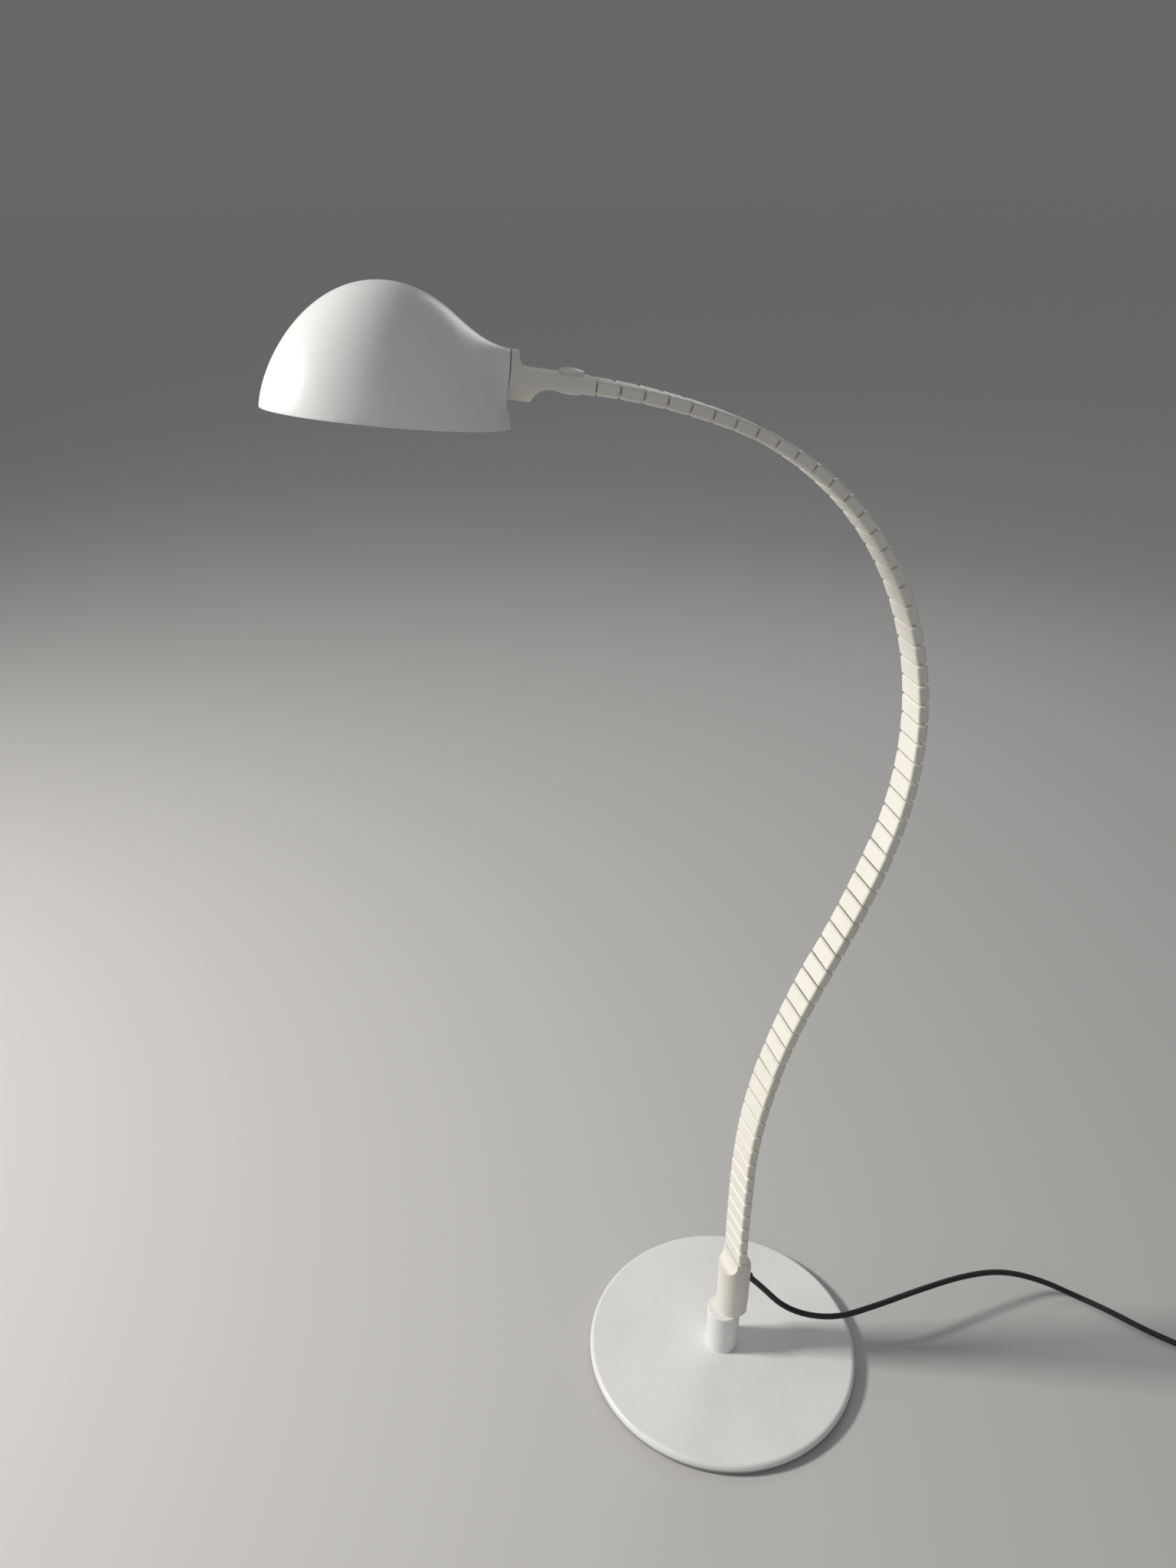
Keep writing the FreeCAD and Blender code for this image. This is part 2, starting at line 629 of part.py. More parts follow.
cap_start = holder_start + 12
cap_end = cap_start + size("bulb_cap_long")
bulb_r = size("bulb_rad")
bulb_at = cap_end + size("bulb_ahead")
neck_in = 20.16
node("bulb_cap", turned("bulb_cap_body", [
    (0, cap_start), (4.5, cap_start), (6.9, cap_start + 4), (6.9, cap_end),
    (0, cap_end)], (), axis_frame))
glass = 1
inner_in = math.sqrt((num("bulb_rad") - glass) ** 2 - 81)
node("bulb_glass", turned("bulb_body", [
    (5.8, cap_end), (6.8, cap_end), (10, bulb_at - neck_in), (bulb_r, bulb_at),
    (0, bulb_at + bulb_r), (0, bulb_at + bulb_r - glass), (bulb_r - glass, bulb_at),
    (9, bulb_at - inner_in)],
    {2: (bulb_r, -1), 3: (bulb_r, -1), 5: (bulb_r - glass, 1), 6: (bulb_r - glass, 1)},
    axis_frame))

# The shade is a pressed helmet: half an egg with a slightly flared lip, leaning forward as
# it rises, with a round stub behind that meets the connector.
# Points of the half outline, as shares of the rim's half length and the height.
LIP = (0.986, 0.116)
SHOULDER = (0.734, 0.611)
LIP_WAY = Vector(-0.11, 0, 0.994).normalize()
SHOULDER_WAY = Vector(-0.566, 0, 0.824).normalize()


def helmet(inset):
    """Round dome of the half outline, drawn in by the inset."""
    wide = num("shade_rim") - inset
    tall = num("shade_tall") - inset
    rim = Vector(wide, 0, 0)
    lip = Vector(LIP[0] * wide, 0, LIP[1] * tall)
    bulge = Vector(SHOULDER[0] * wide, 0, SHOULDER[1] * tall)
    top = Vector(0, 0, tall)
    foot = Vector(0, 0, 0)
    edges = [Part.makeLine(rim, lip)]
    edges += biarc(lip, LIP_WAY, bulge, SHOULDER_WAY)
    edges += biarc(bulge, SHOULDER_WAY, top, Vector(-1, 0, 0))
    edges += [Part.makeLine(top, foot), Part.makeLine(foot, rim)]
    return Part.Face(Part.Wire(edges)).revolve(foot, Vector(0, 0, 1), 360)


shade_in_head = Placement(Vector(float(upper_long) + num("shade_reach"), 0, -num("shade_drop")),
                          Rotation(Vector(1, 0, 0), num("shade_roll"))
                          * Rotation(Vector(0, 1, 0), num("shade_lean")))
to_shade = shade_in_head.inverse()
stub_start = to_shade.multVec(Vector(float(shade_face), 0, 0))
stub_way = to_shade.Rotation.multVec(Vector(1, 0, 0))
egg = Matrix()
egg.A22 = num("shade_half_wide") / num("shade_rim")
egg.A13 = num("shade_shear")
round_space = egg.inverse()


def stub_tool(radius, start, length):
    """Cylinder along the stub, carried into the round dome's space."""
    rod = Part.makeCylinder(radius, length, stub_start + stub_way * start, stub_way)
    return rod.transformGeometry(round_space)


def flare_tool(radius):
    """Hollow cone with a curved side that leads the stub softly into the dome."""
    across = stub_way.cross(Vector(0, 1, 0)).normalize()

    def at_stub(run, out):
        return stub_start + stub_way * run + across * out

    first = num("flare_from")
    run = num("flare_run")
    rise = num("flare_rise")
    ring = [
        Part.Arc(at_stub(first, radius), at_stub(first + run * 0.56, radius + rise * 0.27),
                 at_stub(first + run, radius + rise)),
        Part.LineSegment(at_stub(first + run, radius + rise), at_stub(first + run, 0)),
        Part.LineSegment(at_stub(first + run, 0), at_stub(first, 0)),
        Part.LineSegment(at_stub(first, 0), at_stub(first, radius))]
    face = Part.Face(Part.Wire([piece.toShape() for piece in ring]))
    cone = face.revolve(stub_start, stub_way, 360)
    return cone.transformGeometry(round_space)


skin = num("shade_wall")
outside = helmet(0).fuse(stub_tool(float(conn_r), 0, num("stub_run")))
outside = outside.fuse(flare_tool(float(conn_r)))
inside = helmet(skin).fuse(stub_tool(float(conn_r) - skin, skin, num("stub_run")))
inside = inside.fuse(flare_tool(float(conn_r) - skin))
shell = outside.cut(inside)
shell = shell.cut(stub_tool(float(spindle_r) + 0.05, -2, 6))
shell = shell.cut(stub_tool(float(conn_r) + 0.05, -10, 10))
shell = shell.transformGeometry(egg)
shade = solid("shade_shell", shell)
shade.Placement = head.multiply(shade_in_head)
print("shade volume %.0f mm3" % shell.Volume, shell.isValid(), len(shell.Solids))
node("shade", shade)


# ---------------------------------------------------------------- mains lead
def rounded_route(points):
    """Straight runs joined by tangent arcs through a list of corner points."""
    edges = []
    here = points[0]
    radii = []
    for before, corner, after in zip(points, points[1:], points[2:]):
        into = corner - before
        out = after - corner
        half_turn = into.getAngle(out) / 2
        trim = 0.45 * min(into.Length, out.Length)
        radius = trim / math.tan(half_turn)
        radii.append(radius)
        into.normalize()
        out.normalize()
        begin = corner - into * trim
        end = corner + out * trim
        bisector = (out - into).normalize()
        middle = corner + bisector * (radius / math.cos(half_turn) - radius)
        edges.append(Part.LineSegment(here, begin).toShape())
        edges.append(Part.Arc(begin, middle, end).toShape())
        here = end
    edges.append(Part.LineSegment(here, points[-1]).toShape())
    return edges, radii


def tube(edges, start, way):
    """Round lead of the sheet's diameter along connected tangent edges."""
    spine = Part.Wire(edges)
    ring = Part.Wire([Part.makeCircle(num("lead_dia") / 2, start, way)])
    sweep = Part.BRepOffsetAPI.MakePipeShell(spine)
    sweep.add(ring)
    sweep.build()
    sweep.makeSolid()
    return sweep.shape(), spine.Length


ground = num("lead_dia") / 2
coil_r = num("coil_inner") + num("coil_pitch") * num("coil_turns") / 2
coil_z = num("coil_height")
coil_entry = Vector(num("coil_x"), -num("coil_y"), coil_z)
coil_heading = math.radians(-52.3)
coil_centre = coil_entry + Vector(-math.sin(coil_heading), math.cos(coil_heading), 0) * coil_r


def coil_point(turns):
    """Position on the pile: in along the floor, up a layer, out on top."""
    reverse = num("coil_turns") / 2
    radius = num("coil_inner") + num("coil_pitch") * abs(turns - reverse)
    angle = coil_heading - math.pi / 2 + 2 * math.pi * turns
    climb = min(max((turns - reverse + 0.25) / 0.5, 0), 1)
    climb = climb * climb * (3 - 2 * climb)
    return coil_centre + Vector(radius * math.cos(angle), radius * math.sin(angle),
                                num("coil_pitch") * climb)


def coil_tangent(turns):
    span = num("coil_turns")
    step = 1e-4
    low = max(turns - step, 0)
    high = min(turns + step, span)
    return (coil_point(high) - coil_point(low)).normalize()


quarters = int(num("coil_turns") * 4)
stations = [k / 4 for k in range(quarters + 1)]
coil_edges = []
entry_way = coil_tangent(0)
straight_in = coil_point(0) - entry_way * num("lead_dia")
coil_edges.append(Part.LineSegment(straight_in, coil_point(0)).toShape())
for a, b in zip(stations, stations[1:]):
    coil_edges += biarc(coil_point(a), coil_tangent(a), coil_point(b), coil_tangent(b))
leave = coil_point(stations[-1])
leave_way = coil_tangent(stations[-1])
plug_z = size("plug_thick") / 2
tail_way = Vector(leave_way.x, leave_way.y, 0).normalize()
tail_mid = leave + tail_way * 9
tail_low = leave + tail_way * num("tail_drop")
tail_low.z = float(plug_z)
tail_end = tail_low + tail_way * 9
tail_edges, tail_radii = rounded_route([leave, tail_mid, tail_low, tail_end])
coil_edges += tail_edges
coil_tube, coil_length = tube(coil_edges, straight_in, entry_way)
node("cord_coil", solid("coil_pile", coil_tube))

samples = []
for k in range(int(num("coil_turns") * 72) + 1):
    samples.append(coil_point(k / 72))
least = min((p - q).Length for i, p in enumerate(samples) for q in samples[i + 20:])
print("coil length %.0f mm, least gap to itself %.2f mm, volume ratio %.4f"
      % (coil_length, least - num("lead_dia"),
         coil_tube.Volume / (math.pi * ground ** 2 * coil_length)))

ROUTE = [(33.2, 0, 76.6), (62, -11, 37.5), (100, -32, 34.5), (142, -37.5, 41.3),
         (192, -36.3, 41.4), (242, -36, 39.6), (285, -39.5, 33), (323, -52.5, 19.5),
         (355.5, -70, ground), (374, -94.5, ground), (392.5, -125, ground),
         (413, -151.5, ground + 0.1)]
start = lead_exit - lead_way * 10
corners = [start] + [Vector(*p) for p in ROUTE]
corners.append(straight_in - entry_way * 27)
corners.append(straight_in)
lead_edges, lead_radii = rounded_route(corners)
lead_tube, lead_length = tube(lead_edges, start, corners[1] - start)
node("mains_cord", solid("lead_run", lead_tube))
print("lead length %.0f mm, radii %s, volume ratio %.4f"
      % (lead_length, [round(r) for r in lead_radii],
         lead_tube.Volume / (math.pi * ground ** 2 * lead_length)))
print("whole lead %.0f mm" % (lead_length + coil_length))

# flat two-pin plug at the end of the lead
plug_frame = framed(tail_end, Vector(0, 0, 1), tail_way)
plug_long = size("plug_long")
plug_half = size("plug_wide") / 2
plug = doc.addObject("PartDesign::Body", "plug_shell")
plug_sketch = add_sketch(plug, "plug_outline", "YZ_Plane", [
    (-5, 0), (5, 0), (6.5, 10), (plug_half, 20), (plug_half, plug_long),
    (-plug_half, plug_long), (-plug_half, 20), (-6.5, 10)])
plug_pad = plug.newObject("PartDesign::Pad", "plug_pad")
plug_pad.Profile = plug_sketch
plug_pad.Midplane = True
bind(plug_pad, Length=size("plug_thick"))
doc.recompute()
plug.Placement = plug_frame
node("plug_body", plug)
pins = []
for offset in (-9.5, 9.5):
    pin = doc.addObject("Part::Cylinder", "plug_pin")
    bind(pin, Radius=2, Height=size("pin_long"))
    pin.Placement = plug_frame.multiply(Placement(Vector(0, offset, float(plug_long)), Rotation()))
    pins.append(pin)
both = doc.addObject("Part::Compound", "pin_pair")
both.Links = pins
node("plug_pins", both)

# strap that holds the pile
tie_angle = coil_heading + math.radians(150)
tie_out = coil_centre + Vector(math.cos(tie_angle), math.sin(tie_angle), 0) * (
    num("coil_inner") + (coil_r - num("coil_inner")) / 2)
tie_out.z = 0
tie_frame = Placement(tie_out, Rotation(Vector(0, 0, 1), math.degrees(tie_angle)))
tie_in_r = (coil_r - num("coil_inner")) / 2 + ground + 0.8
tie_top = coil_z + num("coil_pitch") + ground + 0.5
tie_skin = 0.7
tie_outer = box("tie_outer", 2 * (tie_in_r + tie_skin), 10, tie_top + tie_skin,
                (-tie_in_r - tie_skin, -5, 0))
tie_inner = box("tie_inner", 2 * tie_in_r, 12, tie_top - tie_skin, (-tie_in_r, -6, tie_skin))
tie = cut("tie_strap", tie_outer, [tie_inner])
tie.Placement = tie_frame
node("cord_tie", tie)

# ---------------------------------------------------------------- check and export
doc.recompute()
for obj in doc.Objects:
    if "Invalid" in obj.State or "Error" in obj.State:
        raise RuntimeError("%s did not compute: %s" % (obj.Name, obj.State))
for name, feature in NODES:
    shape = feature.Shape
    if shape.isNull() or not shape.isValid():
        raise RuntimeError("bad shape in " + name)
    shape.exportStep("parts/%s.step" % name)
print(len(NODES), "nodes")
print("hinges", [[round(c, 3) for c in p] for p in hinge_points])
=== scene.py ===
import json
import math

import bmesh
import bpy
import numpy as np
from mathutils import Matrix, Vector


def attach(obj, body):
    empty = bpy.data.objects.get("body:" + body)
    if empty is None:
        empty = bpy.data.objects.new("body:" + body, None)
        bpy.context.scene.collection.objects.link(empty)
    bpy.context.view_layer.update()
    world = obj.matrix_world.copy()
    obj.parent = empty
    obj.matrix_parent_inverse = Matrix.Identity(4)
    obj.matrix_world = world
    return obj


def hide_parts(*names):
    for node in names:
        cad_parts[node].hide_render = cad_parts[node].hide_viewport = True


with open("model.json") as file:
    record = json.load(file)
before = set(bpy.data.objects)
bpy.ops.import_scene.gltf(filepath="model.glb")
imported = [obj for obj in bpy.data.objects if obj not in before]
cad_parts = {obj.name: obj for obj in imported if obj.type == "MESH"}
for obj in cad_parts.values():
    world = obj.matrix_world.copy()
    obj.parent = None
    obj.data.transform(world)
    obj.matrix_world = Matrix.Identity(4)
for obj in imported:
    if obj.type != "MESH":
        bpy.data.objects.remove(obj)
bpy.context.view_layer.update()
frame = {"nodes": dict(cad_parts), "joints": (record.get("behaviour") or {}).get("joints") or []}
nodes = frame["nodes"]

# ------------------------------------------------------------------ camera and studio
# The picture was taken from about a metre above the floor, tilted down by 28 degrees, with
# a 27 mm lens on an upright frame.  The lamp stands on a plain pale floor.
CAMERA_PLACE = (-0.3708, -0.6582, 1.0051)
CAMERA_AIM = (0.29966, 0.83121, -0.46826)
CAMERA_ROLL = math.radians(0.165)
CAMERA_LENS = 27.08
forward = Vector(CAMERA_AIM).normalized()
right = forward.cross(Vector((0, 0, 1))).normalized()
up = right.cross(forward)
roll = Matrix.Rotation(CAMERA_ROLL, 3, forward)
right, up = roll @ right, roll @ up
camera_data = bpy.data.cameras.new("camera")
camera_data.sensor_fit = "VERTICAL"
camera_data.sensor_height = 36
camera_data.lens = CAMERA_LENS
camera_data.clip_end = 50
camera = bpy.data.objects.new("camera", camera_data)
bpy.context.collection.objects.link(camera)
turn = Matrix((right, up, -forward)).transposed()
camera.matrix_world = Matrix.Translation(CAMERA_PLACE) @ turn.to_4x4()
bpy.context.scene.camera = camera
bpy.context.scene.view_settings.view_transform = "Standard"


class Value:
    """A shader socket that adds, subtracts and multiplies like a number."""

    def __init__(self, paint, socket):
        self.paint = paint
        self.socket = socket

    def math(self, operation, *others):
        return self.paint.node("ShaderNodeMath", {"operation": operation}, self, *others)

    def __add__(self, other):
        return self.math("ADD", other)

    def __sub__(self, other):
        return self.math("SUBTRACT", other)

    def __mul__(self, other):
        return self.math("MULTIPLY", other)

    __radd__ = __add__
    __rmul__ = __mul__

    def __rsub__(self, other):
        return self * -1 + other

    def between(self, low, high):
        """0 at low, 1 at high, smooth between."""
        settings = {"interpolation_type": "SMOOTHSTEP"}
        return self.paint.node("ShaderNodeMapRange", settings, self, low, high, 0.0, 1.0)


class Paint:
    """One procedural finish: a principled shader with textures in object space."""

    def __init__(self, name, **fixed):
        self.material = bpy.data.materials.new(name)
        self.material.use_nodes = True
        self.tree = self.material.node_tree
        self.tree.nodes.clear()
        out = self.tree.nodes.new("ShaderNodeOutputMaterial")
        self.shader = self.tree.nodes.new("ShaderNodeBsdfPrincipled")
        self.tree.links.new(self.shader.outputs[0], out.inputs[0])
        self.place = self.node("ShaderNodeTexCoord", {}, out="Object")
        for name, value in fixed.items():
            self.shader.inputs[name.replace("_", " ")].default_value = value

    def node(self, kind, settings, *values, out=0, **named):
        made = self.tree.nodes.new(kind)
        for name, value in settings.items():
            setattr(made, name, value)
        pairs = list(enumerate(values))
        pairs += [(name.replace("_", " "), value) for name, value in named.items()]
        for key, value in pairs:
            if isinstance(value, Value):
                self.tree.links.new(value.socket, made.inputs[key])
            else:
                made.inputs[key].default_value = value
        return Value(self, made.outputs[out])

    def noise(self, scale, detail=2.0, rough=0.5, where=None):
        return self.node("ShaderNodeTexNoise", {}, Vector=where or self.place,
                         Scale=scale, Detail=detail, Roughness=rough)

    def stretched(self, x, y, z):
        return self.node("ShaderNodeMapping", {}, Vector=self.place, Scale=(x, y, z))

    def blend(self, factor, a, b):
        mix = self.tree.nodes.new("ShaderNodeMix")
        mix.data_type = "RGBA"
        self.tree.links.new(factor.socket, mix.inputs[0])
        for key, colour in ((6, a), (7, b)):
            if isinstance(colour, Value):
                self.tree.links.new(colour.socket, mix.inputs[key])
            else:
                mix.inputs[key].default_value = (*colour, 1)
        return Value(self, mix.outputs[2])

    def feed(self, **inputs):
        for name, value in inputs.items():
            self.tree.links.new(value.socket, self.shader.inputs[name.replace("_", " ")])
        return self

    def bumps(self, *layers):
        """Relief in layers of (height, distance in metres)."""
        normal = None
        for height, distance in layers:
            extra = {} if normal is None else {"Normal": normal}
            normal = self.node("ShaderNodeBump", {}, Strength=1.0, Distance=distance,
                               Height=height, **extra)
        return self.feed(Normal=normal)

    def on(self, *names):
        for name in names:
            target = nodes[name] if isinstance(name, str) else name
            target.data.materials.clear()
            target.data.materials.append(self.material)
            if target.type == "MESH":
                target.data.polygons.foreach_set(
                    "material_index", [0] * len(target.data.polygons))
        return self


def mesh_piece(name, verts, faces):
    mesh = bpy.data.meshes.new(name)
    mesh.from_pydata([tuple(v) for v in verts], [], faces)
    mesh.shade_smooth()
    piece = bpy.data.objects.new(name, mesh)
    bpy.context.collection.objects.link(piece)
    return piece


FLOOR_HALF, FLOOR_DROP = 30, 0.0003
corners = [(-1, -1), (1, -1), (1, 1), (-1, 1)]
floor = mesh_piece("floor", [(x * FLOOR_HALF, y * FLOOR_HALF, 0) for x, y in corners],
                   [(0, 1, 2, 3)])
floor.location.z = -FLOOR_DROP
Paint("pale_floor", Base_Color=(0.56, 0.55, 0.535, 1), Roughness=0.7).on(floor)

# The world lights the lamp with one colour and shows the camera another behind it.
WORLD_LIGHT, WORLD_LEVEL = (0.93, 0.96, 1.0, 1), 0.23
WORLD_SEEN = (0.132, 0.135, 0.138, 1)
world = bpy.data.worlds.new("studio")
bpy.context.scene.world = world
world.use_nodes = True
tree = world.node_tree
tree.nodes.clear()
path = tree.nodes.new("ShaderNodeLightPath")
soft = tree.nodes.new("ShaderNodeBackground")
soft.inputs[0].default_value = WORLD_LIGHT
soft.inputs[1].default_value = WORLD_LEVEL
seen = tree.nodes.new("ShaderNodeBackground")
seen.inputs[0].default_value = WORLD_SEEN
seen.inputs[1].default_value = 1.0
choose = tree.nodes.new("ShaderNodeMixShader")
out = tree.nodes.new("ShaderNodeOutputWorld")
tree.links.new(path.outputs["Is Camera Ray"], choose.inputs[0])
tree.links.new(soft.outputs[0], choose.inputs[1])
tree.links.new(seen.outputs[0], choose.inputs[2])
tree.links.new(choose.outputs[0], out.inputs[0])


def area_light(name, place, target, energy, width, colour):
    data = bpy.data.lights.new(name, "AREA")
    data.energy = energy
    data.size = width
    data.color = colour
    light = bpy.data.objects.new(name, data)
    light.location = place
    look = Vector(target) - Vector(place)
    light.rotation_euler = look.to_track_quat("-Z", "Y").to_euler()
    bpy.context.collection.objects.link(light)


area_light("key", (-1.95, 0.75, 1.6), (0, 0, 0.35), 55, 0.35, (1.0, 0.97, 0.92))
area_light("front", (-1.3, -2.0, 1.9), (0, 0, 0.5), 5, 1.4, (0.96, 0.98, 1.0))
area_light("rim", (1.2, 1.6, 1.6), (0, 0, 0.6), 5, 0.9, (1.0, 1.0, 1.0))

# ------------------------------------------------------------------ mains lead
# A stiff black lead of 5.4 mm.  It drops obliquely out of the lower connector, springs up
# in a long low hump over the edge of the base, comes down on the floor and is wound into
# a pile of turns held by a strap, with a flat two-pin plug on its end.
LEAD = 0.0054
HIDDEN_RUN = 0.010
dip = math.radians(52)
lead_way = Vector((math.cos(dip), 0, -math.sin(dip)))
lead_exit = Vector((0.0227, 0, 0.090))
route = [lead_exit - lead_way * HIDDEN_RUN]
route += [Vector(p) / 1000 for p in (
    (33.2, 0, 76.6), (62, -11, 37.5), (100, -32, 34.5), (142, -37.5, 41.3),
    (192, -36.3, 41.4), (242, -36, 39.6), (285, -39.5, 33), (323, -52.5, 19.5),
    (355.5, -70, 2.7), (374, -94.5, 2.7), (392.5, -125, 2.7), (413, -151.5, 2.8))]

# The winding runs inwards, climbs one spacing in its middle half turn and runs out again.
TURN_STEPS, CLIMB_TURNS = 16, 0.5
RUN_IN = (0.0324, 0.0054)
TAIL_START, TAIL_DROP, TAIL_LEVEL, PLUG_HEIGHT = 0.009, 0.025, 0.010, 0.0070
turns, inner, spacing = 6.25, 0.0205, 0.0059
coil_r = inner + spacing * turns / 2
heading = math.radians(-52.3)
entry = Vector((0.4496, -0.1992, 0.0034))
coil_centre = entry + Vector((-math.sin(heading), math.cos(heading), 0)) * coil_r
way = Vector((math.cos(heading), math.sin(heading), 0))
route += [entry - way * run for run in RUN_IN]
for k in range(int(turns * TURN_STEPS) + 1):
    turned = k / TURN_STEPS
    radius = inner + spacing * abs(turned - turns / 2)
    angle = heading - math.pi / 2 + 2 * math.pi * turned
    climb = min(max((turned - turns / 2 + CLIMB_TURNS / 2) / CLIMB_TURNS, 0), 1)
    climb = climb * climb * (3 - 2 * climb)
    route.append(coil_centre + Vector((radius * math.cos(angle), radius * math.sin(angle),
                                       spacing * climb)))
leave = route[-1]
leave_way = (route[-1] - route[-2]).normalized()
leave_way.z = 0
leave_way.normalize()
low_tail = leave + leave_way * TAIL_DROP
low_tail.z = PLUG_HEIGHT
route += [leave + leave_way * TAIL_START, low_tail, low_tail + leave_way * TAIL_LEVEL]

curve = bpy.data.curves.new("mains_lead", "CURVE")
curve.dimensions = "3D"
curve.resolution_u = 6
curve.bevel_depth = 1
curve.bevel_resolution = 6
curve.use_fill_caps = True
spline = curve.splines.new("NURBS")
spline.points.add(len(route) - 1)
for point, place in zip(spline.points, route):
    point.co = (*place, 1)
    point.radius = LEAD / 2
spline.order_u = 3
spline.use_endpoint_u = True
lead = bpy.data.objects.new("mains_lead", curve)
bpy.context.collection.objects.link(lead)
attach(lead, "lower_stem")
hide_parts("mains_cord", "cord_coil")

sheath = Paint("lead_sheath", Specular_IOR_Level=0.45)
grain = sheath.noise(900, 3)
wipe = sheath.noise(35, 2).between(0.35, 0.7)
sheath.feed(Base_Color=sheath.blend(wipe, (0.012, 0.012, 0.013), (0.024, 0.023, 0.023)),
            Roughness=grain * 0.12 + wipe * 0.10 + 0.34)
sheath.bumps((grain, 0.00003)).on(lead)

plug_mould = Paint("plug_mould")
grain = plug_mould.noise(1400, 2)
handled = plug_mould.noise(60, 2).between(0.4, 0.65)
plug_mould.feed(Base_Color=plug_mould.blend(handled, (0.013, 0.013, 0.014),
                                            (0.026, 0.026, 0.027)),
                Roughness=handled * 0.14 + 0.36)
plug_mould.bumps((grain, 0.00004)).on("plug_body")

pin_metal = Paint("pin_nickel", Metallic=1.0)
rubbed = pin_metal.noise(700, 2, where=pin_metal.stretched(1, 1, 6))
pin_metal.feed(Base_Color=pin_metal.blend(rubbed, (0.62, 0.58, 0.48), (0.78, 0.74, 0.65)),
               Roughness=rubbed * 0.18 + 0.20)
pin_metal.on("plug_pins")

strap = Paint("strap_weave", Roughness=0.9)
rows = strap.node("ShaderNodeTexWave", {"bands_direction": "DIAGONAL"},
                  Vector=strap.place, Scale=320.0, Distortion=0.6)
strap.feed(Base_Color=strap.blend(rows, (0.010, 0.010, 0.011), (0.035, 0.035, 0.037)))
strap.bumps((rows, 0.0002)).on("cord_tie")

# ------------------------------------------------------------------ round base
# A pressed steel cover with a rolled edge, white lacquer with a faint orange peel, over a
# zinc-grey ballast plate whose edge shows under a fine seam, on a black felt underlay.
def lacquer(name, colour, aged, rough=0.36):
    """White lacquer: fine orange peel, slight cloudiness, a little dust on level faces."""
    paint = Paint(name, Coat_Weight=0.10, Coat_Roughness=0.25)
    peel = paint.noise(420, 2)
    fine = paint.noise(2600, 1)
    cloud = paint.noise(9, 3).between(0.35, 0.7)
    level = paint.node("ShaderNodeSeparateXYZ", {},
                       paint.node("ShaderNodeNewGeometry", {}, out="Normal"), out="Z")
    dust = level.between(0.75, 1.0) * paint.noise(140, 4, 0.7).between(0.45, 0.8)
    paint.feed(Base_Color=paint.blend(cloud * 0.6 + dust * 0.35, colour, aged),
               Roughness=cloud * 0.06 + dust * 0.16 + rough)
    paint.bumps((peel, 0.00004), (fine, 0.000012))
    return paint


white = (0.83, 0.825, 0.81)
lacquer("cover_lacquer", white, (0.74, 0.73, 0.71)).on("base_cover")
lacquer("post_lacquer", (0.84, 0.835, 0.825), (0.76, 0.75, 0.73), 0.32).on("post")

plate = Paint("ballast_zinc", Metallic=0.55)
cast = plate.noise(260, 4, 0.65)
spangle = plate.node("ShaderNodeTexVoronoi", {}, Vector=plate.place, Scale=150.0)
plate.feed(Base_Color=plate.blend(cast, (0.30, 0.30, 0.30), (0.50, 0.50, 0.49)),
           Roughness=spangle * 0.2 + cast * 0.2 + 0.38)
plate.bumps((cast, 0.00012)).on("ballast_plate")

felt = Paint("underlay_felt", Roughness=0.95, Sheen_Weight=0.3)
tuft = felt.noise(1500, 5, 0.8)
felt.feed(Base_Color=felt.blend(tuft, (0.006, 0.006, 0.006), (0.03, 0.03, 0.031)))
felt.bumps((tuft, 0.0004)).on("base_pad")

# Turned steel inside the post: its foot, and the swivel pin with its washer and clip.
turned_steel = Paint("turned_steel", Metallic=1.0)
lathe = turned_steel.noise(40, 3, where=turned_steel.stretched(1, 1, 60))
turned_steel.feed(
    Base_Color=turned_steel.blend(lathe, (0.46, 0.46, 0.47), (0.66, 0.66, 0.66)),
    Roughness=lathe * 0.2 + 0.22)
turned_steel.bumps((lathe, 0.00005))
turned_steel.on("post_foot", "swivel_pin", "friction_washer", "retaining_clip")

# Plated steel: the post's bolt and washer, and the shade's screw, spindle and nut.
zinc = Paint("zinc_plate", Metallic=1.0)
film = zinc.noise(180, 3)
zinc.feed(Base_Color=zinc.blend(film, (0.55, 0.56, 0.58), (0.72, 0.71, 0.66)),
          Roughness=film * 0.2 + 0.28)
zinc.bumps((film, 0.00003))
zinc.on("post_bolt", "post_washer", "spindle_screw", "shade_spindle", "spindle_nut")

bronze = Paint("bush_bronze", Metallic=1.0)
pores = bronze.noise(900, 4, 0.7)
bronze.feed(Base_Color=bronze.blend(pores, (0.45, 0.30, 0.13), (0.62, 0.45, 0.22)),
            Roughness=pores * 0.25 + 0.35)
bronze.bumps((pores, 0.00006)).on("swivel_bush")

# ------------------------------------------------------------------ lower connector
# One cream moulding: a round stub with its top scooped to a flat tang, satin from the
# mould, with faint flow marks.  A short black sleeve guards the lead's oblique hole.
def moulded(name, pale_tone, deep_tone, rough, flow=(18, 18, 18)):
    """Cream moulded plastic: spark-eroded grain and soft flow marks."""
    paint = Paint(name, Specular_IOR_Level=0.5)
    spark = paint.noise(2200, 2)
    orange = paint.noise(380, 2)
    marks = paint.noise(1.0, 3, where=paint.stretched(*flow)).between(0.3, 0.75)
    paint.feed(Base_Color=paint.blend(marks, pale_tone, deep_tone),
               Roughness=spark * 0.06 + marks * 0.06 + rough)
    paint.bumps((orange, 0.00005), (spark, 0.00002))
    return paint


moulded("connector_cream", (0.80, 0.77, 0.70), (0.74, 0.71, 0.635), 0.40).on(
    "lower_connector", "upper_connector")

